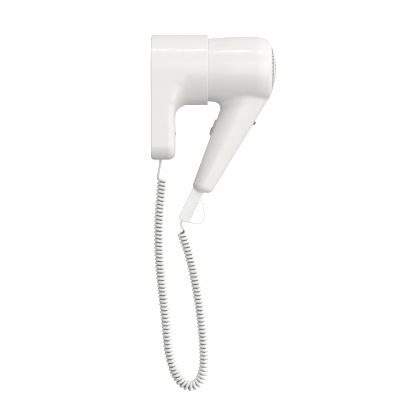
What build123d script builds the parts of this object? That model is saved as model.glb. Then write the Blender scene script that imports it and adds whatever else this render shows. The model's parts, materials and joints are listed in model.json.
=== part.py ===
from build123d import *
import os
from math import acos, atan2, cos, pi, radians, sin, sqrt, tan

# Wall-mounted hair dryer, in millimetres. The origin is on the wall, on the axis of the
# round collar that the handset rests in. +X points out of the wall and +Z points up.
# The whole object is symmetric about the XZ plane, apart from screws and small inner parts.

# ---- wall holder ----
collar_r = 44.1            # outside of the round collar
collar_depth = 70.6        # collar rim, measured from the wall
holder_wall = 2.6
holder_drop = 112.0        # underside of the holder below the collar axis
holder_depth = 30.0        # depth of the flat lower body
holder_foot_half = 31.0    # half width near the foot
holder_edge_r = 9.0        # rounding of the long front edges
foot_corner_r = 18.0       # rounding of the foot, seen from the front
collar_blend_r = 15.5      # hollow blend between the lower body and the collar
rim_edge_r = 1.2
back_edge_r = 1.8          # rounding of the shell's edge along the wall
plate_thick = 2.5
plate_gap = 0.4            # wall plate to holder shell
wall_hole_r = 2.6          # 5 mm wall screws
wall_hole_dy = 36.0
wall_hole_dz = 62.0
wall_hole_z = -31.0        # centre of the four-hole pattern

# ---- handset barrel ----
barrel_r = 41.75
nozzle_r = 35.6            # outside of the air outlet at its front
nozzle_x = 20.0            # front end of the docked nozzle
rim_pass_r = 39.4          # barrel radius where it passes the collar rim
crown_start = 112.0        # the barrel is widest from here
crown_end = 128.0          # to here, then it rounds off
shoulder_r = 40.0
flare_x = 91.0             # the taper eases into the crown here
flare_drop = 0.75          # below the crown's radius
barrel_back = 155.8        # top of the domed rear end
dome_r = 81.0
dome_edge_r = 5.0
housing_wall = 2.2
seam_gap = 0.1             # hairline between the two housing halves

# ---- handle ----
handle_top = (126.7, -16.7)    # where the handle axis starts, inside the barrel
handle_start = 5.0             # along the axis, still inside the barrel
handle_tilt = 25.7             # handle axis, degrees off vertical
handle_len = 151.0
handle_thick_top = 54.8        # front to back
handle_thick_end = 25.6
handle_half_top = 25.0         # half of the side to side width
handle_half_end = 14.4
handle_end_lean = 18.0         # the end is cut nearer to level, degrees
handle_end_r = 9.0
handle_blend_r = 8.0
boss_r = 3.4                   # posts that the housing screws turn into
boss_upper = (60.0, 8.0)       # along the handle axis and across it
boss_lower_rise = 31.0         # lower boss above the handle's end
boss_lower_q = 6.5
screw_sink = 8.0               # screw heads below the surface of the right half
screw_reach = 8.0              # past the middle, into the left half

# ---- rear grille ----
grille_r = 35.0
grille_gap = 0.15
grille_thick = 1.6
grille_rim = 1.6           # wall of the rim that stands on the ledge
grille_seat = 10.8         # ledge in the housing, below the top of the dome
ledge_thick = 2.2
ledge_lap = 2.4            # how far the ledge reaches under the grille
slot_rows = ((12.5, 20.5, 24), (24.8, 32.4, 42))   # inner radius, outer radius, slots
slot_width = 1.8
slot_skew = 45.0            # slots lean from the radius, degrees

# ---- switch, button, cord guard and loop, placed along the handle ----
track_s = 60.8             # upper end of the switch track, along the handle axis
track_len = 21.0
track_width = 9.0
track_proud = 1.8
knob_len = 9.0
knob_width = 6.4
knob_proud = 2.6
switch_travel = 8.0
sliding_gap = 0.3
button_s = 44.1
button_r = 2.4
button_proud = 1.6
button_travel = 1.2
guard_left = -11.6         # edges of the flat cord guard, across the handle axis
guard_right = 4.6
guard_out = 42.2           # length of the guard past the handle's end
guard_thick = 8.4
guard_neck = 6.0           # length of the guard inside the handle
guard_slots = 5
guard_slot_start = 13.5    # first slot past the handle's end
guard_slot_pitch = 4.6
guard_slot_wide = 1.2
guard_slot_deep = 1.6
guard_slot_in = 4.0
guard_end_r = 3.6
guard_rim_r = 1.6
loop_wire = 2.6
loop_start = 7.0           # loop's upper end past the handle's end
loop_foot = 2.3            # its lower end before the guard's end
loop_points = [(12.4, 9.5), (20.2, 15.0), (26.2, 17.9), (31.2, 18.5), (35.4, 16.4), (37.9, 11.6)]
clip_rise = 13.0           # cord clip above the handle's end
clip_half_len = 3.0
clip_half_q = 3.4
clip_gap = 0.4
tail_rise = 23.0           # the jacket ends this far above the handle's end
wire_top = 90.0            # the two wires end here, below the switch
wire_r = 0.9
wire_spread = 2.6

# ---- cord ----
cord_d = 3.6
curl_d = 13.0
cord_q = -5.0              # cord axis in the guard, across the handle axis
holder_lead = [(11.3, -112.0), (11.3, -118.0), (10.1, -124.5), (9.35, -130.73), (8.95, -136.73)]
curl_route = [
    (13.0, -137.0), (12.0, -152.0), (9.8, -175.0), (8.6, -205.0), (9.8, -240.0),
    (13.8, -278.0), (18.3, -315.0), (20.4, -345.0), (25.0, -367.0), (31.8, -383.0),
    (38.8, -392.0), (48.3, -396.0), (57.4, -392.5), (63.3, -382.5), (66.0, -367.5),
    (65.6, -345.0), (62.8, -315.0), (58.6, -285.0), (52.5, -252.0), (45.5, -225.0),
    (37.6, -204.0),
]
handset_lead = [(38.32, -188.8), (36.15, -193.3), (35.77, -199.13), (37.6, -204.0)]

# ---- motor, fan and heater ----
motor_r = 14.0
motor_len = 30.0
motor_x = 92.0
shaft_r = 1.0
shaft_gap = 0.03
shaft_len = 46.0
shroud_wall = 1.4
shroud_r = barrel_r - housing_wall - 1.3    # outside of the ring round motor and fan
fan_gap = 0.75
fan_x = 129.0
fan_hub_r = 9.0
fan_depth = 12.0
fan_blades = 7
fan_pitch = 52.0           # blade angle off the fan's plane of turning
element_x0 = 30.0
element_x1 = 84.0
element_gap = 2.4          # heating element to the inside of the nozzle's wall
element_r = nozzle_r - housing_wall - element_gap
turn_r = element_r - 3.0   # middle of the resistance wire
mica_thick = 0.6
wire_turns = 6

# ---- holder inside ----
cup_x = 12.0               # floor of the socket cup
cup_wall = 1.8
cup_clear = 0.3            # nozzle to the cup's ribs
plunger_r = 2.5
plunger_travel = 3.0
lamp_lens_r = 2.2
lamp_proud = 1.0

cord_exit_x = holder_lead[0][0]
outlet_r = 4.2             # hole in the foot for the outlet bush
outlet_reach = 12.0        # how far its drill goes in
lock_x = 20.0              # lock screw in the foot
lock_recess = 2.0
lug_half = 6.0             # lug that the lock screw turns into
lug_high = 5.0
clamp_rise = 16.0          # cord clamp above the underside of the foot
clamp_screw_y = 7.5
clamp_half_len = 11.0
clamp_half_high = 3.5
clamp_thick = 2.4
clamp_boss_r = 3.0
terminal_rise = 38.0       # underside of the terminal block above the foot
terminal_high = 12.0
terminal_half = 14.0
terminal_front = 18.0
terminal_y = 7.0           # its two poles
lamp_rise = 32.0           # mains lamp above the underside of the foot
rib_reach = 22.0           # socket ribs past the front of the nozzle
cup_back = 8.0             # the cup ends this far inside the collar rim
clamp_z = clamp_rise - holder_drop
clamp_x = cord_exit_x - cord_d / 2
terminal_low = terminal_rise - holder_drop
lamp_z = lamp_rise - holder_drop
plunger_z = -(nozzle_r - 1.6)
plunger_back = cup_x - plunger_travel - 2.0

screw_r = 1.5
screw_head_r = 2.8

seat_x = barrel_back - grille_seat
filter_x = seat_x - 1.8
guard_end = handle_len + guard_out
guard_neck_end = handle_len + 1.5
guard_cord_top = handle_len - tail_rise
button_deep = -9.0 - button_travel - sliding_gap    # top of the small switch, below the back surface
boss_places = (boss_upper, (handle_len - boss_lower_rise, boss_lower_q))
nozzle_slope = (rim_pass_r - nozzle_r) / (collar_depth - nozzle_x)
down = (-sin(radians(handle_tilt)), 0, -cos(radians(handle_tilt)))
# Handle frame: X runs down the handle axis, Y across it towards the back, Z to the left side.
handle_frame = Plane(origin=(handle_top[0], 0, handle_top[1]), x_dir=down, z_dir=(0, -1, 0))


def disc(x, thick, r):
    """A round slab on the collar axis, from x to x + thick."""
    return extrude(Plane.YZ.offset(x) * Circle(r), thick)


def ring(x, thick, r_out, r_in):
    return disc(x, thick, r_out) - disc(x - 1, thick + 2, r_in)


def rod(start, end, r):
    """A round rod between two points."""
    way = Vector(*end) - Vector(*start)
    return extrude(Plane(origin=start, z_dir=way) * Circle(r), way.length)


def block(x0, x1, y0, y1, z0, z1):
    size = (x1 - x0, y1 - y0, z1 - z0)
    return Pos((x0 + x1) / 2, (y0 + y1) / 2, (z0 + z1) / 2) * Box(*size)


def on_handle(shape):
    """Move a shape drawn in the handle frame to its place."""
    return handle_frame.location * shape


def handle_half_thick(s):
    return (handle_thick_top + (handle_thick_end - handle_thick_top) * s / handle_len) / 2


def handle_half_width(s):
    return handle_half_top + (handle_half_end - handle_half_top) * s / handle_len


# ---------------------------------------------------------------- wall holder
def arch_face(inset):
    """Front view of the holder: a round top running into sides that draw in downwards."""
    r = collar_r - inset
    foot_half = holder_foot_half - inset
    foot_z = -(holder_drop - inset)
    # the sides leave the round top along its tangent
    reach = sqrt(foot_half ** 2 + foot_z ** 2)
    touch = atan2(foot_z, foot_half) + acos(r / reach)
    right = (r * cos(touch), r * sin(touch))
    left = (-right[0], right[1])
    with BuildSketch(Plane.YZ) as sketch:
        with BuildLine():
            ThreePointArc(left, (0, r), right)
            Polyline(right, (foot_half, foot_z), (-foot_half, foot_z), left)
        make_face()
        corners = [v for v in sketch.vertices() if v.Y < foot_z + 0.01]
        fillet(corners, foot_corner_r - inset)
    return sketch.sketch


def blend_skirt(r_body, inset):
    """Hollow-curved ring that runs from the flat front of the lower body up to the collar."""
    x_body = holder_depth - inset
    b = collar_blend_r + inset
    low = r_body + b
    mid = b * (1 - 1 / sqrt(2))
    with BuildSketch(Plane.XZ) as sketch:
        with BuildLine():
            Line((4, r_body - 8), (4, low))
            Line((4, low), (x_body, low))
            ThreePointArc((x_body, low), (x_body + mid, r_body + mid), (x_body + b, r_body))
            Line((x_body + b, r_body), (x_body + b, r_body - 8))
            Line((x_body + b, r_body - 8), (4, r_body - 8))
        make_face()
    return revolve(sketch.sketch, Axis.X, 360)


def holder_form():
    """Solid form of the holder: lower body, collar and the blend between them."""
    body = extrude(arch_face(0), holder_depth)
    front = [e for e in body.edges() if e.center().X > holder_depth - 0.01 and e.center().Z < 0]
    body = fillet(front, holder_edge_r)
    body = fillet([e for e in body.edges() if e.center().X < 0.01], back_edge_r)
    skirt = blend_skirt(collar_r, 0) & extrude(arch_face(0), collar_depth)
    collar = disc(0, collar_depth, collar_r)
    collar = fillet(collar.edges().sort_by(Axis.X)[-1], rim_edge_r)
    collar = fillet([e for e in collar.edges() if e.center().X < 0.01], back_edge_r)
    return body + skirt + collar


def holder_shell():
    shell = holder_form()
    hollow = extrude(arch_face(holder_wall), holder_depth - holder_wall)
    front = [e for e in hollow.edges() if e.center().X > holder_depth - holder_wall - 0.01
             and e.center().Z < 0]
    hollow = fillet(front, holder_edge_r - holder_wall)
    shell -= hollow + Pos(-0.5, 0, 0) * hollow
    shell -= disc(-1, collar_depth + 2, collar_r - holder_wall)
    # openings in the foot and front: cord outlet, lamp window and lock screw hole
    below, above = -holder_drop - 5, -holder_drop + outlet_reach
    shell -= rod((cord_exit_x, 0, below), (cord_exit_x, 0, above), outlet_r)
    shell -= rod((holder_depth - 8, 0, lamp_z), (holder_depth + 2, 0, lamp_z), lamp_lens_r + 0.1)
    shell -= rod((lock_x, 0, below), (lock_x, 0, above), screw_r + 0.2)
    shell -= rod((lock_x, 0, below), (lock_x, 0, lock_recess - holder_drop), screw_head_r + 0.2)
    return shell


def wall_plate():
    inset = holder_wall + plate_gap
    plate = extrude(arch_face(inset), plate_thick)
    for y in (-wall_hole_dy / 2, wall_hole_dy / 2):
        for z in (wall_hole_z - wall_hole_dz / 2, wall_hole_z + wall_hole_dz / 2):
            plate -= rod((-1, y, z), (plate_thick + 1, y, z), wall_hole_r)
    # lug at the foot that the lock screw turns into
    foot_z = -holder_drop + holder_wall + plate_gap
    lug = block(plate_thick - 0.5, lock_x + 3.5, -lug_half, lug_half, foot_z + 1.2, foot_z + 1.2 + lug_high)
    lug -= rod((lock_x, 0, foot_z - 1), (lock_x, 0, foot_z + 8), screw_r)
    lug -= rod((cord_exit_x, 0, foot_z - 1), (cord_exit_x, 0, foot_z + 8), outlet_r + 0.6)
    plate += lug
    # bosses for the cord clamp and for the terminal block
    for y in (-clamp_screw_y, clamp_screw_y):
        plate += rod((plate_thick, y, clamp_z), (clamp_x, y, clamp_z), clamp_boss_r)
        plate -= rod((plate_thick - 1, y, clamp_z), (clamp_x + 1, y, clamp_z), screw_r)
    return plate


def cord_clamp():
    """Bar that two screws pull down on the cord."""
    x0 = cord_exit_x + cord_d / 2
    bar = block(x0, x0 + clamp_thick, -clamp_half_len, clamp_half_len,
                clamp_z - clamp_half_high, clamp_z + clamp_half_high)
    for y in (-clamp_screw_y, clamp_screw_y):
        bar -= rod((x0 - 1, y, clamp_z), (x0 + 4, y, clamp_z), screw_r + 0.2)
    return bar


def clamp_screws():
    x0 = cord_exit_x + cord_d / 2 + clamp_thick
    screws = []
    for y in (-clamp_screw_y, clamp_screw_y):
        screw = rod((x0, y, clamp_z), (x0 + 1.8, y, clamp_z), screw_head_r)
        screw += rod((plate_thick + 0.5, y, clamp_z), (x0, y, clamp_z), screw_r)
        screws.append(screw)
    return Compound(screws)


def holder_cord_tail():
    """Cord inside the holder, from the outlet up past the clamp to the terminals."""
    return rod((cord_exit_x, 0, -holder_drop), (cord_exit_x, 0, terminal_low - 0.2), cord_d / 2)


def outlet_bush():
    """Flanged bush that lines the cord outlet in the foot."""
    z = -holder_drop
    bush = rod((cord_exit_x, 0, z), (cord_exit_x, 0, z + holder_wall + 4.0), outlet_r - 0.1)
    return bush - rod((cord_exit_x, 0, z - 1), (cord_exit_x, 0, z + 12), cord_d / 2 + 0.1)


def lock_screw():
    seat = -holder_drop + lock_recess
    screw = rod((lock_x, 0, seat - 0.5), (lock_x, 0, seat + 8.5), screw_r)
    return screw + rod((lock_x, 0, seat - 1.5), (lock_x, 0, seat), screw_head_r)


def terminal_block():
    top = terminal_low + terminal_high
    middle = terminal_low + terminal_high / 2
    body = block(plate_thick + 0.05, terminal_front, -terminal_half, terminal_half, terminal_low, top)
    for y in (-terminal_y, terminal_y):
        body -= rod((terminal_front - 8, y, middle), (terminal_front + 1, y, middle), 2.4)
        body -= rod((terminal_front - 7.7, y, terminal_low - 1), (terminal_front - 7.7, y, top + 1), 1.6)
    return body


def terminal_screws():
    z = terminal_low + terminal_high / 2
    x = terminal_front - 5.5
    return Compound([rod((x, y, z), (x + 4, y, z), 2.2) for y in (-terminal_y, terminal_y)])


def lamp_lens():
    z = lamp_z
    seat = holder_depth - holder_wall
    lens = rod((seat - 1, 0, z), (holder_depth + lamp_proud, 0, z), lamp_lens_r)
    lens = fillet(lens.edges().sort_by(Axis.X)[-1], 0.8)
    return lens + rod((seat - 3, 0, z), (seat - 0.05, 0, z), lamp_lens_r + 1)


def lamp_body():
    x1 = holder_depth - holder_wall - 3.1
    bulb = rod((x1 - 8, 0, lamp_z), (x1, 0, lamp_z), 2.0)
    return bulb + rod((x1 - 10, 0, lamp_z), (x1 - 8, 0, lamp_z), 2.8)


def nozzle_radius(x):
    """Outside radius of the nozzle part of the barrel, between its front and the rim."""
    return nozzle_r + nozzle_slope * (x - nozzle_x)


def socket_cup():
    """Cup inside the collar: floor, wall and six ribs that carry the nozzle."""
    r_out = collar_r - holder_wall - 0.1
    depth = collar_depth - cup_back
    cup = disc(cup_x, depth - cup_x, r_out) - disc(cup_x + cup_wall, depth, r_out - cup_wall)
    rib_x1 = nozzle_x + rib_reach
    rib_ring = ring(cup_x + cup_wall, rib_x1 - cup_x - cup_wall, r_out - cup_wall + 0.2,
                    nozzle_radius(rib_x1) + cup_clear)
    for i in range(6):
        angle = 60 * i + 30
        spoke = Rot(angle, 0, 0) * block(cup_x, rib_x1, -1.0, 1.0, 10, r_out)
        cup += spoke & rib_ring
    cup -= rod((cup_x - 1, 0, plunger_z), (cup_x + cup_wall + 1, 0, plunger_z), plunger_r + 0.3)
    return cup


def dock_plunger():
    """Pin that the docked nozzle holds pressed, to cut the power."""
    tip = nozzle_x - sliding_gap
    pin = rod((plunger_back, 0, plunger_z), (tip, 0, plunger_z), plunger_r)
    return pin + rod((plunger_back, 0, plunger_z), (plunger_back + 1.5, 0, plunger_z), plunger_r + 1.0)


def dock_switch():
    x1 = plunger_back - sliding_gap
    return block(plate_thick + 0.05, x1, -6, 6, plunger_z - 8, plunger_z + 8)


# ---------------------------------------------------------------- handset housing
def barrel_solid(inset, x_front):
    """Barrel turned about the X axis: tapering nozzle, crown, shoulder and domed rear."""
    crown_r = barrel_r - inset
    ahead, reach = 13.0, 24.0    # along the shoulder's arc, from the crown
    front_r = nozzle_radius(x_front) - inset
    with BuildSketch() as sketch:
        with BuildLine():
            Line((x_front, 0), (x_front, front_r))
            Spline([(x_front, front_r), (collar_depth, rim_pass_r - inset), (flare_x, crown_r - flare_drop),
                    (crown_start, crown_r)], tangents=[(1, nozzle_slope), (1, 0)])
            Line((crown_start, crown_r), (crown_end, crown_r))
            ThreePointArc((crown_end, crown_r), (crown_end + ahead, crown_r - sag(shoulder_r, ahead)),
                          (crown_end + reach, crown_r - sag(shoulder_r, reach)))
            Line((crown_end + reach, crown_r - sag(shoulder_r, reach)), (barrel_back + 5, 0))
            Line((barrel_back + 5, 0), (x_front, 0))
        make_face()
        with Locations((barrel_back - dome_r, 0)):
            Circle(dome_r - inset, mode=Mode.INTERSECT)
        rim = [v for v in sketch.vertices() if v.X > crown_end + 1 and v.Y > 5]
        fillet(rim, dome_edge_r)
    return revolve(Plane.XZ * sketch.sketch, Axis.X, 360)


def sag(radius, reach):
    return radius - sqrt(radius ** 2 - reach ** 2)


def handle_solid(inset, s_end):
    """Tapering oval grip, drawn in the handle frame."""
    ovals = []
    for s in (handle_start, s_end + handle_half_top):
        plane = Plane(origin=(s, 0, 0), x_dir=(0, 1, 0), z_dir=(1, 0, 0))
        ovals.append(plane * Ellipse(handle_half_thick(s) - inset, handle_half_width(s) - inset))
    beyond = Pos(s_end, 0, 0) * Rot(0, 0, handle_end_lean) * block(0, 90, -90, 90, -90, 90)
    return loft(ovals, ruled=True) - beyond


def rounded_handle(inset):
    """The grip with its leaning end rounded; with an inset, the space inside its wall."""
    handle = handle_solid(inset, handle_len - inset)
    end = handle.edges().filter_by(lambda e: e.length > handle_thick_end).sort_by(Axis.X)[-1]
    return fillet(end, handle_end_r - inset)


def housing_form():
    barrel = barrel_solid(0, nozzle_x)
    form = barrel + on_handle(rounded_handle(0))
    joint = [e for e in form.edges() if joint_edge(e)]
    return fillet(joint, handle_blend_r)


def joint_edge(e):
    """The curve where the handle grows out of the barrel."""
    c = e.center()
    return 84 < c.X < 150 and -41 < c.Z < -24 and e.geom_type != GeomType.CIRCLE


def housing_hollow():
    barrel = barrel_solid(housing_wall, nozzle_x - 5)
    return barrel + on_handle(rounded_handle(housing_wall))


def track_frame(shape):
    """Place a shape drawn on the sloping front of the handle: X down, Y inwards, Z to the left."""
    slope = (handle_half_thick(0) - handle_half_thick(handle_len)) / handle_len
    start = Plane(origin=(track_s, -handle_half_thick(track_s), 0), x_dir=(1, slope, 0), z_dir=(0, 0, 1))
    return on_handle(start.location * shape)


def button_frame(shape):
    """Place a shape drawn on the back of the handle: X up the back, Y outwards."""
    slope = -(handle_half_thick(0) - handle_half_thick(handle_len)) / handle_len
    start = Plane(origin=(button_s, handle_half_thick(button_s), 0), x_dir=(1, slope, 0), z_dir=(0, 0, 1))
    return on_handle(start.location * shape)


def boss_pair(s, q):
    """Screw boss across the handle or barrel, drawn in the handle frame."""
    return Pos(s, q, 0) * Cylinder(boss_r, 3 * barrel_r)


def screw_seat(s):
    """Where a screw head sits in the right half, below its surface."""
    return screw_sink - handle_half_width(s)


def housing_half(form, hollow, side):
    shell = form - hollow
    # bosses that the housing screws turn into
    for s, q in boss_places:
        post = on_handle(boss_pair(s, q)) & form
        shell += post
        seat = screw_seat(s)
        shell -= on_handle(Pos(s, q, 0) * rod((0, 0, seat - 1), (0, 0, screw_reach + 1), screw_r))
        shell -= on_handle(Pos(s, q, 0) * rod((0, 0, -60), (0, 0, seat), screw_head_r + 0.3))
    # rear opening that the grille snaps into, and the front mouth for the outlet ring
    shell -= disc(seat_x - ledge_thick - 1, 20, grille_r + grille_gap)
    shell += ring(seat_x - ledge_thick, ledge_thick, barrel_r - 4.6, grille_r - ledge_lap)
    # window for the switch knob, seat for its track, hole for the back button, mouth for the guard
    half = track_width / 2
    shell -= track_frame(block(-0.05, track_len + 0.05, -4, 0.65, -half - 0.05, half + 0.05))
    shell -= track_frame(block(1.0, track_len - 1.0, -6, 6, -track_width / 2 + 1.2, track_width / 2 - 1.2))
    shell -= button_frame(Rot(90, 0, 0) * Cylinder(button_r + sliding_gap, 16))
    shell -= on_handle(guard_neck_block(0.1))
    if side < 0:
        return largest(shell & block(-50, 250, -100, -seam_gap / 2, -250, 100))
    rest = button_frame(block(-4, 4, button_deep - 5, button_deep, -60, -4.1)) & form
    return largest((shell + rest) & block(-50, 250, seam_gap / 2, 100, -250, 100))


def largest(shape):
    solids = shape.solids()
    return max(solids, key=lambda s: s.volume)


def housing_screws():
    screws = []
    for s, q in boss_places:
        seat = screw_seat(s)
        screw = rod((s, q, seat - 0.5), (s, q, screw_reach), screw_r)
        screws.append(on_handle(screw + rod((s, q, seat - 1.8), (s, q, seat), screw_head_r)))
    return Compound(screws)


def rear_grille():
    skin = barrel_solid(0, nozzle_x) - barrel_solid(grille_thick, nozzle_x - 5)
    cap = skin & disc(seat_x, 20, grille_r)
    cap += ring(seat_x, 12, grille_r, grille_r - grille_rim) & barrel_solid(grille_thick / 2, nozzle_x)
    for r0, r1, count in slot_rows:
        length, middle = r1 - r0, (r0 + r1) / 2
        half = length / 2
        cutter = block(barrel_back - 20, barrel_back + 5, -slot_width / 2, slot_width / 2, -half, half)
        cutter = Pos(0, 0, middle) * Rot(slot_skew, 0, 0) * cutter
        for i in range(count):
            cap -= Rot(360 * i / count, 0, 0) * cutter
    return largest(cap)


def lint_filter():
    """Fine mesh disc in its frame, behind the rear grille."""
    disc_r = grille_r - 2.6
    frame = ring(filter_x, 1.6, disc_r, disc_r - 2.0)
    for i in range(3):
        frame += Rot(60 * i, 0, 0) * block(filter_x, filter_x + 1.6, -0.8, 0.8, -disc_r + 1, disc_r - 1)
    return frame + disc(filter_x + 0.6, 0.3, disc_r - 1)


def outlet_ring():
    """Ring that lines the mouth of the nozzle and holds the heater's shield."""
    r = nozzle_r - housing_wall - 0.1
    return ring(nozzle_x + 0.4, 8.0, r, r - 1.6)


def front_grille():
    r = nozzle_r - housing_wall - 0.1 - 1.6 - 0.15
    x = nozzle_x + 2.0
    grille = ring(x, 2.0, r, r - 1.4)
    for radius in (8.0, 15.0, 22.0):
        grille += ring(x, 2.0, radius + 0.6, radius - 0.6)
    for i in range(4):
        grille += Rot(45 * i, 0, 0) * block(x, x + 2.0, -0.6, 0.6, -r + 0.8, r - 0.8)
    return grille


# ---------------------------------------------------------------- motor, fan and heater
def motor_mount():
    """Ring with five guide vanes and a cup that holds the motor."""
    r_out = shroud_r
    x0 = motor_x - 2.0
    mount = ring(x0, fan_x + fan_depth / 2 + 1.0 - x0, r_out, r_out - shroud_wall)
    mount += ring(x0, motor_len - 4.0, motor_r + 1.7, motor_r + 0.1)
    mount += ring(x0 - 1.6, 1.6, motor_r + 1.7, 6.0)
    for i in range(5):
        vane = block(x0, x0 + motor_len - 4.0, -0.7, 0.7, motor_r + 1.2, r_out - 0.7)
        mount += Rot(72 * i + 36, 0, 0) * vane
    return mount


def motor_can():
    can = disc(motor_x, motor_len - 4.0, motor_r) - disc(motor_x - 1, motor_len - 6.0, motor_r - 1.2)
    can -= disc(motor_x - 2, motor_len + 5, shaft_r + 1.6)
    return can + ring(motor_x + motor_len - 6.5, 4.5, shaft_r + 2.6, shaft_r + shaft_gap)


def motor_end_cap():
    return ring(motor_x + 0.1, 3.0, motor_r - 1.3, shaft_r + shaft_gap)


def motor_magnets():
    x0 = motor_x + 4.0
    shell = ring(x0, 16.0, motor_r - 1.25, motor_r - 4.0)
    gap = block(x0 - 1, x0 + 18, -20, 20, -2.4, 2.4)
    return Compound((shell - gap).solids())


def rotor_core():
    core = disc(motor_x + 5.0, 14.0, motor_r - 4.6)
    for i in range(3):
        core -= Rot(120 * i, 0, 0) * block(motor_x + 4, motor_x + 20, -1.0, 1.0, 6.0, 12)
    return core - disc(motor_x, 30, shaft_r)


def motor_shaft():
    return disc(motor_x - 0.5, shaft_len, shaft_r)


def fan():
    x0 = fan_x - fan_depth / 2
    wheel = disc(x0, fan_depth, fan_hub_r) - disc(x0 - 1, fan_depth - 2.0, fan_hub_r - 1.6)
    wheel += disc(x0, fan_depth, 3.0)
    for i in range(fan_blades):
        blade = block(-0.65, 0.65, -fan_depth, fan_depth, fan_hub_r - 1.0, shroud_r)
        blade = Pos(fan_x, 0, 0) * Rot(0, 0, fan_pitch) * blade
        blade = blade & ring(x0 + 0.6, fan_depth - 1.2, shroud_r - shroud_wall - fan_gap, fan_hub_r - 1.0)
        wheel += Rot(360 * i / fan_blades, 0, 0) * blade
    return wheel - disc(x0 - 2, fan_depth + 4, shaft_r)


def heat_shield():
    """Thin insulating tube round the heating element."""
    return ring(element_x0 - 1.0, element_x1 - element_x0 + 2.0, element_r + 0.9, element_r + 0.3)


def mica_cross():
    plate = block(element_x0, element_x1, -mica_thick / 2, mica_thick / 2, -element_r, element_r)
    cross = plate + Rot(90, 0, 0) * plate
    for x in turn_places():
        cross -= ring(x - 0.6, 1.2, turn_r + 0.6, turn_r - 0.6)
    return cross


def turn_places():
    pitch = (element_x1 - element_x0 - 12) / (wire_turns - 1)
    return [element_x0 + 6 + pitch * i for i in range(wire_turns)]


def heater_winding():
    """Resistance wire, as separate turns that sit in notches of the mica cross."""
    return Compound([ring(x - 0.5, 1.0, turn_r + 0.5, turn_r - 0.5) for x in turn_places()])


def thermostat():
    low = mica_thick / 2 + 0.05
    body = block(element_x0 + 16, element_x0 + 24, 4, 14, low, low + 5)
    return body + block(element_x0 + 10, element_x0 + 16, 7, 11, low + 2, low + 2.8)


def thermal_fuse():
    z = mica_thick / 2 + 0.05 + 1.9
    return rod((element_x0 + 14, -8, z), (element_x0 + 26, -8, z), 1.9)


# ---------------------------------------------------------------- handle contents
def switch_track():
    """Raised frame round the switch window."""
    half = track_width / 2
    frame = block(0, track_len, -track_proud, 0.6, -half, half)
    edges = [e for e in frame.edges() if abs(e.center().Y + track_proud) < 0.01]
    frame = fillet(edges, 0.7)
    slot_half = knob_width / 2 - 1.2 + sliding_gap
    frame -= block(1.2, track_len - 1.2, -8, 8, -slot_half, slot_half)
    return track_frame(frame)


def switch_knob():
    """Finger piece with a stem that reaches the sliding contact inside."""
    x0 = track_len - knob_len - 1.6
    top = -track_proud - sliding_gap
    cap = block(x0, x0 + knob_len, top - (knob_proud - track_proud), top, -knob_width / 2, knob_width / 2)
    edges = [e for e in cap.edges() if abs(e.center().Y - (top - knob_proud + track_proud)) < 0.01]
    cap = fillet(edges, 0.5)
    for i in range(3):
        x = x0 + knob_len / 2 + (i - 1) * 2.0
        cap -= block(x - 0.35, x + 0.35, -9, top - (knob_proud - track_proud) + 0.35, -3.5, 3.5)
    stem_half = knob_width / 2 - 1.2
    stem = block(x0 + 1.2, x0 + knob_len - 1.2, top - 0.2, 6.0, -stem_half, stem_half)
    return track_frame(cap + stem)


def switch_body():
    """Switch block inside the handle, open towards the knob."""
    body = block(-2, track_len + 2, 4.3, 16.0, -7.5, 7.5)
    body -= block(0, track_len, 0, 11.0, -5.5, 5.5)
    return track_frame(body)


def switch_contact():
    x0 = track_len - knob_len - 1.6
    return track_frame(block(x0, x0 + knob_len, 6.0, 10.6, -4.8, 4.8))


def back_button():
    pin = Pos(0, (button_proud - 9.0) / 2, 0) * Rot(90, 0, 0) * Cylinder(button_r, button_proud + 9.0)
    collar = Pos(0, -housing_wall - 1.2, 0) * Rot(90, 0, 0) * Cylinder(button_r + 1.2, 1.2)
    return button_frame(pin + collar)


def button_switch():
    """Small tact switch under the back button."""
    return button_frame(block(-4, 4, button_deep - 5, button_deep, -4, 4))


def cord_guard(form):
    """Flat flexible guard at the handle's end, with flex slots and a neck held in the handle."""
    with BuildSketch() as outline:
        with BuildLine():
            Polyline((handle_len - 6.0, guard_left), (guard_end, guard_left), (guard_end, guard_right),
                     (handle_len - 6.0, guard_right), close=True)
        make_face()
        corners = outline.vertices().group_by(Axis.X)[-1]
        fillet(corners, guard_end_r)
    guard = extrude(outline.sketch, guard_thick / 2, both=True)
    rims = guard.faces().sort_by(Axis.Z)
    guard = fillet(list(rims[0].edges()) + list(rims[-1].edges()), guard_rim_r)
    for i in range(guard_slots):
        s = handle_len + guard_slot_start + guard_slot_pitch * i
        for z in (guard_thick / 2, -guard_thick / 2):
            guard -= block(s, s + guard_slot_wide, guard_right - guard_slot_in, guard_right + 1.0,
                           z - guard_slot_deep, z + guard_slot_deep)
    guard = on_handle(guard) - form + on_handle(guard_neck_block(0))
    return guard - on_handle(rod((100, cord_q, 0), (guard_end + 1, cord_q, 0), cord_d / 2 + 0.1))


def guard_neck_block(clearance):
    """The part of the guard that the two housing halves close on, or the mouth for it."""
    c = clearance
    end = guard_neck_end + (5 if c else 0)
    return block(handle_len - guard_neck - c, end, guard_left + 2.0 - c, guard_right - 2.0 + c,
                 -guard_thick / 2 + 1.0 - c, guard_thick / 2 - 1.0 + c)


def hanging_loop():
    """Round cord-like ring moulded on the guard, to hang the handset from."""
    join_q = guard_right - 1.2
    points = [(loop_start, join_q), *loop_points, (guard_out - loop_foot, join_q)]
    path = Spline([(handle_len + s, q, 0) for s, q in points])
    section = Plane(origin=path @ 0, z_dir=path % 0) * Circle(loop_wire / 2)
    return on_handle(sweep(section, path))


def guard_cord():
    """The cord where the guard and the handle hold it, up to the clamp in the handle."""
    return on_handle(rod((guard_cord_top, cord_q, 0), (guard_end, cord_q, 0), cord_d / 2))


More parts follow.
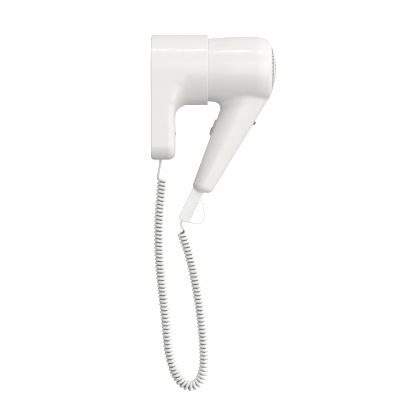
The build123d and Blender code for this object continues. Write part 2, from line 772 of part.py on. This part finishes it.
def handle_cord_clip():
    s = handle_len - clip_rise
    narrow = s + clip_half_len
    across = (cord_q - clip_half_q) / (handle_half_thick(narrow) - housing_wall)
    half = (handle_half_width(narrow) - housing_wall) * sqrt(1 - across ** 2) - clip_gap
    clip = block(s - clip_half_len, narrow, cord_q - clip_half_q, cord_q + clip_half_q, -half, half)
    return on_handle(clip - rod((s - 5, cord_q, 0), (s + 5, cord_q, 0), cord_d / 2 + 0.05))


def inner_wires():
    """Two insulated wires from the cord up the handle to the switch."""
    wires = []
    for z in (-wire_spread, wire_spread):
        points = [(guard_cord_top - 0.5, cord_q, z * 0.4), (guard_cord_top - 18, cord_q, z),
                  (wire_top, cord_q, z)]
        path = FilletPolyline(*points, radius=12.0)
        section = Plane(origin=path @ 0, z_dir=path % 0) * Circle(wire_r)
        wires.append(on_handle(sweep(section, path)))
    return Compound(wires)


# ---------------------------------------------------------------- cord
def route_tube(points, diameter, name):
    """Straight runs joined by tangent arcs, each as large as its two runs allow."""
    places = [Vector(x, 0, z) for x, z in points]
    radii = []
    for before, here, after in zip(places, places[1:], places[2:]):
        turn = (here - before).get_angle(after - here)
        shorter = min((here - before).length, (after - here).length)
        radii.append(0.45 * shorter / tan(radians(turn) / 2))
    path = FilletPolyline(*places, radius=radii)
    tube = sweep(Plane(origin=path @ 0, z_dir=path % 0) * Circle(diameter / 2), path)
    full = pi * diameter ** 2 / 4 * path.length
    print(name, "radii", [round(r, 1) for r in radii], "length", round(path.length, 2),
          "volume ratio", round(tube.volume / full, 5))
    return tube


nodes = {}


def add(name, shape):
    nodes[name] = shape


def main():
    os.makedirs("parts", exist_ok=True)
    add("holder_shell", holder_shell())
    add("wall_plate", wall_plate())
    add("socket_cup", socket_cup())
    add("dock_switch", dock_switch())
    add("dock_plunger", dock_plunger())
    add("terminal_block", terminal_block())
    add("terminal_screws", terminal_screws())
    add("lamp_lens", lamp_lens())
    add("lamp_body", lamp_body())
    add("outlet_bush", outlet_bush())
    add("cord_clamp", cord_clamp())
    add("clamp_screws", clamp_screws())
    add("lock_screw", lock_screw())
    add("holder_cord_tail", holder_cord_tail())
    form = housing_form()
    hollow = housing_hollow()
    add("housing_left", housing_half(form, hollow, -1))
    add("housing_right", housing_half(form, hollow, 1))
    add("housing_screws", housing_screws())
    add("rear_grille", rear_grille())
    add("lint_filter", lint_filter())
    add("outlet_ring", outlet_ring())
    add("front_grille", front_grille())
    add("motor_mount", motor_mount())
    add("motor_can", motor_can())
    add("motor_end_cap", motor_end_cap())
    add("motor_magnets", motor_magnets())
    add("rotor_core", rotor_core())
    add("motor_shaft", motor_shaft())
    add("fan", fan())
    add("heat_shield", heat_shield())
    add("mica_cross", mica_cross())
    add("heater_winding", heater_winding())
    add("thermostat", thermostat())
    add("thermal_fuse", thermal_fuse())
    add("switch_track", switch_track())
    add("switch_knob", switch_knob())
    add("switch_contact", switch_contact())
    add("switch_body", switch_body())
    add("back_button", back_button())
    add("button_switch", button_switch())
    add("cord_guard", cord_guard(form))
    add("hanging_loop", hanging_loop())
    add("guard_cord", guard_cord())
    add("handle_cord_clip", handle_cord_clip())
    add("inner_wires", inner_wires())
    add("cord_lead_holder", route_tube(holder_lead, cord_d, "holder lead"))
    add("cord_curl", route_tube(curl_route, curl_d, "curl"))
    add("cord_lead_handset", route_tube(handset_lead, cord_d, "handset lead"))
    for name, shape in nodes.items():
        export_step(shape, "parts/" + name + ".step")


main()
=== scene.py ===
import bpy, bmesh, json, math
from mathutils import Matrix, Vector
from mathutils.bvhtree import BVHTree
from mathutils.kdtree import KDTree

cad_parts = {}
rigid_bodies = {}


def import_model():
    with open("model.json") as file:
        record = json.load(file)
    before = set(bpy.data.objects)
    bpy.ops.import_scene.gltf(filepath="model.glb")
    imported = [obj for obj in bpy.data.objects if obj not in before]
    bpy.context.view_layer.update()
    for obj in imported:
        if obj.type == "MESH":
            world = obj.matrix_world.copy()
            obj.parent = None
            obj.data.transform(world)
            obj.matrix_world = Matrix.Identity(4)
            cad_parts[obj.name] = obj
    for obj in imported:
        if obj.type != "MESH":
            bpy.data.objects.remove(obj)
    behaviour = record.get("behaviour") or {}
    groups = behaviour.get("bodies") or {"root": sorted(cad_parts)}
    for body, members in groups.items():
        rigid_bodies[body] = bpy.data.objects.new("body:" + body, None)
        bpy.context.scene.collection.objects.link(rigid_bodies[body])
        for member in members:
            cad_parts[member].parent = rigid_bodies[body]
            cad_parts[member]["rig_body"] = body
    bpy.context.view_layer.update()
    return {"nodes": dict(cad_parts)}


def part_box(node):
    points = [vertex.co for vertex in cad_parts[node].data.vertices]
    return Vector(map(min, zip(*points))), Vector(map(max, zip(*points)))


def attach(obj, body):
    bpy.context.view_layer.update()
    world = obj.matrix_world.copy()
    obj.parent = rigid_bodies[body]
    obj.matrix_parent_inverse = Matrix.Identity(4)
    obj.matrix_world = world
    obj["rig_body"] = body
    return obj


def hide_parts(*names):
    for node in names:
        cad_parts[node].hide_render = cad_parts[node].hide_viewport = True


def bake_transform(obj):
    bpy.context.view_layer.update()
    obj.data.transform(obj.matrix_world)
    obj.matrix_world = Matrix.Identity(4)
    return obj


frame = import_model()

# The view: level with the middle of the hanging cord, square to the side of the dryer.
camera_distance = 1.70
view_width = 0.500
view_middle = (0.0606, -0.1625)      # across and up
camera_data = bpy.data.cameras.new("camera")
camera = bpy.data.objects.new("camera", camera_data)
bpy.context.scene.collection.objects.link(camera)
camera_data.sensor_width = 36.0
camera_data.lens = camera_data.sensor_width * camera_distance / view_width
camera_data.clip_end = 30.0
camera.location = (view_middle[0], -camera_distance, view_middle[1])
camera.rotation_euler = (math.pi / 2, 0, 0)
bpy.context.scene.camera = camera

# ---------------------------------------------------------------- curly cord
# Two-core flexible cord with a soft white PVC jacket, wound to the left and heat-set into a
# long spring. A short straight lead at each end runs into the holder and into the handset.
wire_d = 0.0036
coil_mean_r = 0.0047
coil_pitch = 0.00475
points_per_turn = 18
coil_room = 0.00005      # the wire is drawn this much thinner, so that the coil fits its tube
cord_axis = [
    (0.0113, -0.1120), (0.0113, -0.1180), (0.0121, -0.1270),
    (0.0130, -0.1370), (0.0120, -0.1520), (0.0098, -0.1750), (0.0086, -0.2050), (0.0098, -0.2400),
    (0.0138, -0.2780), (0.0183, -0.3150), (0.0204, -0.3450), (0.0250, -0.3670), (0.0318, -0.3830),
    (0.0388, -0.3920), (0.0483, -0.3960), (0.0574, -0.3925), (0.0633, -0.3825), (0.0660, -0.3675),
    (0.0656, -0.3450), (0.0628, -0.3150), (0.0586, -0.2850), (0.0525, -0.2520), (0.0455, -0.2250),
    (0.0376, -0.2040), (0.0358, -0.1991), (0.0361, -0.1933), (0.0383, -0.1888),
]
lead_top = 0.0245        # length of the lead at the holder, down to the first turn
lead_bottom = 0.0150     # and of the one at the handset


def smooth_line(points):
    """Points along the smooth curve that has these control points."""
    data = bpy.data.curves.new("line", "CURVE")
    data.dimensions = "3D"
    spline = data.splines.new("NURBS")
    spline.points.add(len(points) - 1)
    for point, place in zip(spline.points, points):
        point.co = (*place, 1)
    spline.order_u = 3
    spline.use_endpoint_u = True
    spline.resolution_u = 40
    carrier = bpy.data.objects.new("line", data)
    mesh = bpy.data.meshes.new_from_object(carrier)
    line = [v.co.copy() for v in mesh.vertices]
    bpy.data.objects.remove(carrier)
    return line


def smoothstep(low, high, value):
    """0 below low, 1 above high, and a soft rise between them."""
    t = min(max((value - low) / (high - low), 0), 1)
    return t * t * (3 - 2 * t)


def walk(line):
    """Distance along a line of points, for each of them."""
    along = [0.0]
    for a, b in zip(line, line[1:]):
        along.append(along[-1] + (b - a).length)
    return along


def coiled(line, middle):
    """The cord's own centre line: straight leads that swing out into a left-handed coil. The
    coil's axis beside each of its points is added to the middle list."""
    along = walk(line)
    end = along[-1] - lead_bottom
    turns = round((end - lead_top) / coil_pitch)
    step = (end - lead_top) / turns / points_per_turn
    settle = 0.0022      # half the length over which the turning starts and stops
    path, s, i, angle = [], 0.0, 0, 0.0
    while s < along[-1] + 1e-9:
        while i < len(along) - 2 and along[i + 1] < s:
            i += 1
        share = (s - along[i]) / (along[i + 1] - along[i])
        centre = line[i].lerp(line[i + 1], share)
        ahead = (line[min(i + 2, len(line) - 1)] - line[max(i - 1, 0)]).normalized()
        side = Vector((0, 1, 0)).cross(ahead).normalized()
        out = coil_mean_r * smoothstep(0.002, lead_top - 0.001, s)
        out *= 1 - smoothstep(end + 0.0005, along[-1] - 0.0015, s)
        middle.append(centre)
        path.append(centre + out * (math.cos(angle) * side + math.sin(angle) * Vector((0, 1, 0))))
        wound = smoothstep(lead_top - settle, lead_top + settle, s)
        wound *= 1 - smoothstep(end - settle, end + settle, s)
        angle -= wound * 2 * math.pi / points_per_turn
        s += step
    return path


def tube_mesh(name, path, diameter, sides=3):
    """A round tube along a path, as a mesh with closed ends."""
    data = bpy.data.curves.new(name, "CURVE")
    data.dimensions = "3D"
    spline = data.splines.new("POLY")
    spline.points.add(len(path) - 1)
    for point, place in zip(spline.points, path):
        point.co = (*place, 1)
    data.bevel_depth = diameter / 2
    data.bevel_resolution = sides
    data.use_fill_caps = True
    carrier = bpy.data.objects.new(name, data)
    mesh = bpy.data.meshes.new_from_object(carrier)
    bpy.data.objects.remove(carrier)
    tidy = bmesh.new()
    tidy.from_mesh(mesh)
    bmesh.ops.remove_doubles(tidy, verts=tidy.verts, dist=1e-6)
    bmesh.ops.recalc_face_normals(tidy, faces=tidy.faces)
    for face in tidy.faces:
        face.smooth = len(face.verts) < 5
    tidy.to_mesh(mesh)
    tidy.free()
    piece = bpy.data.objects.new(name, mesh)
    bpy.context.scene.collection.objects.link(piece)
    return piece


def linear(hex_colour):
    """An sRGB hex colour as linear red, green, blue and alpha."""
    channels = [int(hex_colour[i:i + 2], 16) / 255 for i in (0, 2, 4)]
    return [c / 12.92 if c <= 0.04045 else ((c + 0.055) / 1.055) ** 2.4 for c in channels] + [1.0]


def new_material(name):
    """A new material and its shader node."""
    material = bpy.data.materials.new(name)
    material.use_nodes = True
    return material, material.node_tree.nodes["Principled BSDF"]


def add_node(shader, kind, links=(), **settings):
    """Adds a node beside a shader. Settings are properties or inputs; links are
    (output, node, input) from this node, or (input, node, output) with the node's output."""
    node = shader.id_data.nodes.new(kind)
    for key, value in settings.items():
        if hasattr(node, key):
            setattr(node, key, value)
        else:
            node.inputs[key.replace("_", " ")].default_value = value
    for own, other, name in links:
        if own in node.inputs and not (own in node.outputs and name in other.inputs):
            shader.id_data.links.new(other.outputs[name], node.inputs[own])
        else:
            shader.id_data.links.new(node.outputs[own], other.inputs[name])
    return node


def mottled(shader, light, dark, size_mm):
    """Slight cloudy colour variation, size_mm across."""
    place = add_node(shader, "ShaderNodeTexCoord")
    cloud = add_node(shader, "ShaderNodeTexNoise", [("Vector", place, "Object")],
                     Scale=1000 / size_mm, Detail=3.0)
    ramp = add_node(shader, "ShaderNodeValToRGB", [("Fac", cloud, "Fac"), ("Color", shader, "Base Color")])
    ramp.color_ramp.elements[0].color = linear(dark)
    ramp.color_ramp.elements[1].color = linear(light)
    ramp.color_ramp.elements[0].position = 0.3
    ramp.color_ramp.elements[1].position = 0.7
    return place, ramp


gloss_patch_mm = 1000 / 60


def grained(shader, place, size_mm, depth_mm, rough_low, rough_high):
    """Fine moulded grain, size_mm across, and wide patches of slightly different gloss."""
    grain = add_node(shader, "ShaderNodeTexNoise", [("Vector", place, "Object")],
                     Scale=1000 / size_mm, Detail=2.0)
    add_node(shader, "ShaderNodeBump", [("Height", grain, "Fac"), ("Normal", shader, "Normal")],
             Strength=1.0, Distance=depth_mm / 1000)
    patches = add_node(shader, "ShaderNodeTexNoise", [("Vector", place, "Object")],
                       Scale=1000 / gloss_patch_mm, Detail=4.0)
    add_node(shader, "ShaderNodeMapRange", [("Value", patches, "Fac"), ("Result", shader, "Roughness")],
             To_Min=rough_low, To_Max=rough_high)


# Soft PVC, extruded: satin, with a faint grain. The inside of each turn is painted darker grey
# as painted shade, standing in for the shade between the close turns of the coil.
cord_pvc, shader = new_material("soft_pvc_cord")
shader.inputs["IOR"].default_value = 1.52
place, tint = mottled(shader, "F3F3F0", "EDEDE9", 14)
grained(shader, place, 0.5, 0.006, 0.34, 0.44)
# painted shade: the inside of each turn is mixed towards dark grey by the mesh's inside attribute
inner_side = add_node(shader, "ShaderNodeAttribute", attribute_name="inside")
coil_shade_share = add_node(shader, "ShaderNodeMapRange", [("Value", inner_side, "Fac")],
                  From_Min=-0.15, From_Max=0.75)
painted_coil_shade = add_node(shader, "ShaderNodeMix", [("Factor", coil_shade_share, "Result")], data_type="RGBA")
shader.id_data.links.new(tint.outputs["Color"], painted_coil_shade.inputs[6])
painted_coil_shade.inputs[7].default_value = linear("8E8D88")
shader.id_data.links.new(painted_coil_shade.outputs[2], shader.inputs["Base Color"])

coil_middle = []
cord_path = coiled(smooth_line([(x, 0, z) for x, z in cord_axis]), coil_middle)
curly_cord = tube_mesh("curly_cord", cord_path, wire_d - coil_room, sides=4)
curly_cord.data.materials.append(cord_pvc)
nearest = KDTree(len(cord_path))
for index, point in enumerate(cord_path):
    nearest.insert(point, index)
nearest.balance()
# painted shade: how far each point of the wire faces the coil's axis, read by the cord material to darken
# the inside of the turns
inside = curly_cord.data.attributes.new("inside", "FLOAT", "POINT")
for vertex in curly_cord.data.vertices:
    point, index, _ = nearest.find(vertex.co)
    inwards = coil_middle[index] - point
    share = smoothstep(coil_mean_r / 2, coil_mean_r, inwards.length)
    inside.data[vertex.index].value = share * (vertex.co - point).dot(inwards.normalized()) / (wire_d / 2)
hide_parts("cord_lead_holder", "cord_curl", "cord_lead_handset")
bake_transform(curly_cord)

# ---------------------------------------------------------------- white shells
# Holder shell and the two housing halves are injection-moulded ABS from a polished tool:
# glossy, warm white, with a faint orange-peel surface. Screws hold the halves together.
abs_ior = 1.53
sharp_angle = math.radians(34)


def polished_abs(name):
    """Glossy warm white ABS: its material, shader, texture place and tint nodes."""
    material, shader = new_material(name)
    shader.inputs["IOR"].default_value = abs_ior
    place, tint = mottled(shader, "F1F0ED", "EEEDEA", 40)
    grained(shader, place, 1.6, 0.004, 0.14, 0.19)
    return material, shader, place, tint


def joined_form(node):
    """The node's mesh as a bmesh, with its loose triangles joined."""
    form = bmesh.new()
    form.from_mesh(frame["nodes"][node].data)
    bmesh.ops.remove_doubles(form, verts=form.verts, dist=2e-6)
    return form


def shell_piece(node, material, form=None):
    """A finished copy of a moulded piece: joined faces, crisp edges and smooth curves."""
    form = form or joined_form(node)
    form.normal_update()
    for edge in form.edges:
        edge.smooth = len(edge.link_faces) == 2 and edge.calc_face_angle(0) < sharp_angle
    for face in form.faces:
        face.smooth = True
    mesh = bpy.data.meshes.new(node + "_finish")
    form.to_mesh(mesh)
    form.free()
    mesh.materials.append(material)
    piece = bpy.data.objects.new(node + "_finish", mesh)
    bpy.context.scene.collection.objects.link(piece)
    normals = piece.modifiers.new("normals", "WEIGHTED_NORMAL")
    normals.keep_sharp = True
    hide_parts(node)
    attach(piece, frame["nodes"][node]["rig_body"])
    return piece


# The side of the lower body runs softly into the underside of the collar: the shell's outer
# skin is cut into small cells there and smoothed, fully inside the area and less at its edges.
blend_x = (0.012, 0.050)
blend_z = (-0.072, -0.010)
full_x = (0.018, 0.043)
full_z = (-0.064, -0.024)
full_y = (0.016, 0.026)      # from the middle of the front to the rounded side
blend_cell = 0.0015
blend_rounds = 110
holder = joined_form("holder_shell")
for axis, (first, last) in ((0, blend_x), (2, blend_z)):
    for cut in range(int((last - first) / blend_cell)):
        near = [f for f in holder.faces
                if max(v.co.x for v in f.verts) > blend_x[0] and min(v.co.x for v in f.verts) < blend_x[1]
                and max(v.co.z for v in f.verts) > blend_z[0] and min(v.co.z for v in f.verts) < blend_z[1]]
        around = list({v for f in near for v in f.verts}) + list({e for f in near for e in f.edges}) + near
        normal = Vector((1, 0, 0)) if axis == 0 else Vector((0, 0, 1))
        bmesh.ops.bisect_plane(holder, geom=around, dist=1e-6, plane_no=normal,
                               plane_co=normal * (first + cut * blend_cell))
holder.normal_update()
walls = BVHTree.FromBMesh(holder)
share = {}
for v in holder.verts:
    soft = smoothstep(blend_x[0], full_x[0], v.co.x) * (1 - smoothstep(full_x[1], blend_x[1], v.co.x))
    soft *= smoothstep(blend_z[0], full_z[0], v.co.z) * (1 - smoothstep(full_z[1], blend_z[1], v.co.z))
    soft *= smoothstep(full_y[0], full_y[1], abs(v.co.y))
    if soft > 0 and walls.ray_cast(v.co + v.normal * 2e-5, v.normal, 0.2)[0] is None:
        share[v] = (soft, v.co.copy())
for turn in range(blend_rounds):
    bmesh.ops.smooth_vert(holder, verts=list(share), factor=0.5,
                          use_axis_x=True, use_axis_y=True, use_axis_z=True)
for v, (soft, before) in share.items():
    v.co = before.lerp(v.co, soft)
shell_abs = polished_abs("polished_white_abs")[0]
shell_piece("holder_shell", shell_abs, holder)
shell_piece("housing_left", shell_abs)
shell_piece("housing_right", shell_abs)

# ---------------------------------------------------------------- rear grille
# Domed ABS cap with two rows of leaning slots, snapped into the housing. The sides of its
# slots, below the polished skin, are painted near-black as painted shade.
grille_abs, shader, place, tint = polished_abs("slotted_white_abs")
dome_r = 0.081
shade_start_depth = 0.00008        # the painted shade starts this far below the skin
shade_full_depth = 0.0002         # and is full here
dome_middle = (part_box("rear_grille")[1][0] - dome_r, 0, 0)
# painted shade: points below the dome's skin, on the sides of the slots, are mixed towards near-black
depth = add_node(shader, "ShaderNodeVectorMath", [("Vector", place, "Object")], operation="DISTANCE")
depth.inputs[1].default_value = dome_middle
slot_shade_share = add_node(shader, "ShaderNodeMapRange", [("Value", depth, "Value")],
                 From_Min=dome_r - shade_full_depth, From_Max=dome_r - shade_start_depth)
painted_slot_shade = add_node(shader, "ShaderNodeMix", [("Factor", slot_shade_share, "Result")], data_type="RGBA")
painted_slot_shade.inputs[6].default_value = linear("1C1C1B")
shader.id_data.links.new(tint.outputs["Color"], painted_slot_shade.inputs[7])
shader.id_data.links.new(painted_slot_shade.outputs[2], shader.inputs["Base Color"])
shell_piece("rear_grille", grille_abs)

# ---------------------------------------------------------------- guard and loop
# Soft PVC moulding that stops the cord from kinking, with a ring to hang the handset from.
guard_pvc, shader = new_material("soft_pvc_moulding")
shader.inputs["IOR"].default_value = 1.52
grained(shader, mottled(shader, "F8F8F6", "F2F3F1", 20)[0], 0.8, 0.008, 0.36, 0.46)
for node in ("cord_guard", "hanging_loop"):
    shell_piece(node, guard_pvc)

# ---------------------------------------------------------------- plain white mouldings
# Wall plate, socket cup, outlet bush, cord clamp and cord clip are ABS from an eroded, matt
# tool. The plate is screwed to the wall and carries the holder's other pieces.
matt_abs, shader = new_material("matt_white_abs")
shader.inputs["IOR"].default_value = abs_ior
grained(shader, mottled(shader, "E8E7E3", "E2E1DD", 30)[0], 0.7, 0.02, 0.48, 0.60)
for node in ("wall_plate", "socket_cup", "outlet_bush", "cord_clamp", "handle_cord_clip"):
    shell_piece(node, matt_abs)

# ---------------------------------------------------------------- switch and button
# Warm grey acetal slide switch in its track on the front of the grip. The push button at the
# back is black nylon, as are the moulded pieces inside the holder and the housing.
grey_trim, shader = new_material("moulded_grey_acetal")
shader.inputs["IOR"].default_value = 1.48
grained(shader, mottled(shader, "B9B3AD", "AEA8A2", 8)[0], 0.5, 0.015, 0.38, 0.50)
dark_nylon, shader = new_material("moulded_black_nylon")
shader.inputs["IOR"].default_value = 1.53
grained(shader, mottled(shader, "2A2A2C", "222224", 8)[0], 0.5, 0.015, 0.42, 0.55)
shell_piece("switch_track", grey_trim)
shell_piece("switch_knob", grey_trim)
for node in ("back_button", "dock_plunger", "dock_switch", "terminal_block", "lamp_body",
             "outlet_ring", "motor_mount", "motor_end_cap", "switch_body", "button_switch", "fan"):
    shell_piece(node, dark_nylon)

# ---------------------------------------------------------------- lamp
# Small tinted polycarbonate lens over the mains lamp, pushed into the front of the holder.
lamp_tint, shader = new_material("tinted_polycarbonate")
shader.inputs["IOR"].default_value = 1.58
grained(shader, mottled(shader, "C9C5C1", "BFBBB7", 3)[0], 0.8, 0.004, 0.10, 0.16)
shell_piece("lamp_lens", lamp_tint)

# ---------------------------------------------------------------- metal parts
# Zinc-plated steel screws, grille, motor can and heater winding; ferrite magnets and the
# laminated rotor core; brass terminals and contacts. Most of them are inside the housings.
steel, shader = new_material("zinc_plated_steel")
shader.inputs["Metallic"].default_value = 1.0
grained(shader, mottled(shader, "C6C7CA", "B4B5B8", 4)[0], 0.3, 0.006, 0.24, 0.36)
for node in ("clamp_screws", "lock_screw", "housing_screws", "front_grille", "motor_can", "heater_winding",
             "thermal_fuse", "motor_shaft"):
    shell_piece(node, steel)
iron, shader = new_material("ferrite_and_laminations")
shader.inputs["Metallic"].default_value = 0.6
grained(shader, mottled(shader, "5A5A5D", "454548", 3)[0], 0.3, 0.01, 0.45, 0.6)
for node in ("motor_magnets", "rotor_core"):
    shell_piece(node, iron)
brass, shader = new_material("plain_brass")
shader.inputs["Metallic"].default_value = 1.0
grained(shader, mottled(shader, "D8B970", "C5A55C", 3)[0], 0.3, 0.006, 0.25, 0.35)
for node in ("terminal_screws", "thermostat", "switch_contact"):
    shell_piece(node, brass)

# ---------------------------------------------------------------- heater boards and filter
# Pressed mica carries the heater winding and shields the housing from its heat. A woven
# nylon disc behind the rear grille keeps lint out.
mica, shader = new_material("pressed_mica_sheet")
shader.inputs["IOR"].default_value = 1.58
grained(shader, mottled(shader, "CFC2A4", "B5A585", 5)[0], 0.6, 0.02, 0.3, 0.5)
for node in ("heat_shield", "mica_cross"):
    shell_piece(node, mica)
mesh_nylon, shader = new_material("woven_nylon_filter")
shader.inputs["IOR"].default_value = 1.53
grained(shader, mottled(shader, "4A4A4C", "38383A", 1)[0], 0.5, 0.05, 0.6, 0.7)
shell_piece("lint_filter", mesh_nylon)

# ---------------------------------------------------------------- wires inside
# The cord's ends run on through the bush and the guard to the terminals and the motor, in
# the same soft PVC.
for node in ("holder_cord_tail", "guard_cord", "inner_wires"):
    shell_piece(node, cord_pvc)

# ---------------------------------------------------------------- floor, backdrop and light
# Pale matt floor and a white backdrop. They light nothing themselves: the room does, brighter
# above and on the handset's side, with a soft key light in front and a narrow one above that
# makes the thin line of gloss.
floor_z = -0.75
backdrop_y = 3.0


def stage_panel(name, half_size, place, turn, colour, glow):
    """A flat panel that only the camera sees."""
    form = bmesh.new()
    bmesh.ops.create_grid(form, x_segments=1, y_segments=1, size=half_size)
    mesh = bpy.data.meshes.new(name)
    form.to_mesh(mesh)
    form.free()
    material, shader = new_material(name)
    shader.inputs["Base Color"].default_value = linear(colour)
    shader.inputs["Roughness"].default_value = 0.9
    shader.inputs["Emission Color"].default_value = (1, 1, 1, 1)
    shader.inputs["Emission Strength"].default_value = glow
    mesh.materials.append(material)
    board = bpy.data.objects.new(name, mesh)
    board.location = place
    board.rotation_euler = turn
    board.visible_diffuse = False
    board.visible_glossy = False
    board.visible_shadow = False
    bpy.context.scene.collection.objects.link(board)


stage_panel("floor", 6.0, (0, 0, floor_z), (0, 0, 0), "F4F4F2", 0.45)
stage_panel("backdrop", 6.0, (0, backdrop_y, 0), (math.pi / 2, 0, 0), "FFFFFF", 1.0)


def soft_light(name, place, aim, size_x, size_y, power):
    """A rectangular light that faces its aim."""
    data = bpy.data.lights.new(name, "AREA")
    data.shape = "RECTANGLE"
    data.size = size_x
    data.size_y = size_y
    data.energy = power
    lamp = bpy.data.objects.new(name, data)
    lamp.location = place
    lamp.rotation_euler = (Vector(aim) - Vector(place)).to_track_quat("-Z", "Y").to_euler()
    bpy.context.scene.collection.objects.link(lamp)


object_middle = (0.06, 0, -0.05)
barrel_middle = (0.08, 0, 0)
soft_light("key", (0.90, -2.10, 0.10), object_middle, 2.6, 2.0, 18.5)
soft_light("strip", (0.06, -0.80, 1.45), barrel_middle, 1.6, 0.035, 3.2)
world = bpy.data.worlds.new("studio")
world.use_nodes = True
backlight = world.node_tree.nodes["Background"]
direction = world.node_tree.nodes.new("ShaderNodeTexCoord")


def lean(towards, low, high):
    """A value from low to high, by how far a direction leans towards the given one."""
    along = world.node_tree.nodes.new("ShaderNodeVectorMath")
    along.operation = "DOT_PRODUCT"
    along.inputs[1].default_value = Vector(towards).normalized()
    spread = world.node_tree.nodes.new("ShaderNodeMapRange")
    spread.inputs["From Min"].default_value = -1.0
    spread.inputs["To Min"].default_value = low
    spread.inputs["To Max"].default_value = high
    world.node_tree.links.new(direction.outputs["Generated"], along.inputs[0])
    world.node_tree.links.new(along.outputs["Value"], spread.inputs["Value"])
    return spread.outputs["Result"]


level = world.node_tree.nodes.new("ShaderNodeValToRGB")
level.color_ramp.elements[0].color = (0.11, 0.100, 0.085, 1)
level.color_ramp.elements[1].color = (0.82, 0.82, 0.825, 1)
level.color_ramp.elements.new(0.5).color = (0.78, 0.777, 0.77, 1)
world.node_tree.links.new(lean((0.45, -0.34, 1.0), 0, 1), level.inputs["Fac"])
world.node_tree.links.new(level.outputs["Color"], backlight.inputs["Color"])
world.node_tree.links.new(lean((1, 0, 0), 0.46, 1.32), backlight.inputs["Strength"])
bpy.context.scene.world = world
bpy.context.scene.view_settings.view_transform = "Standard"
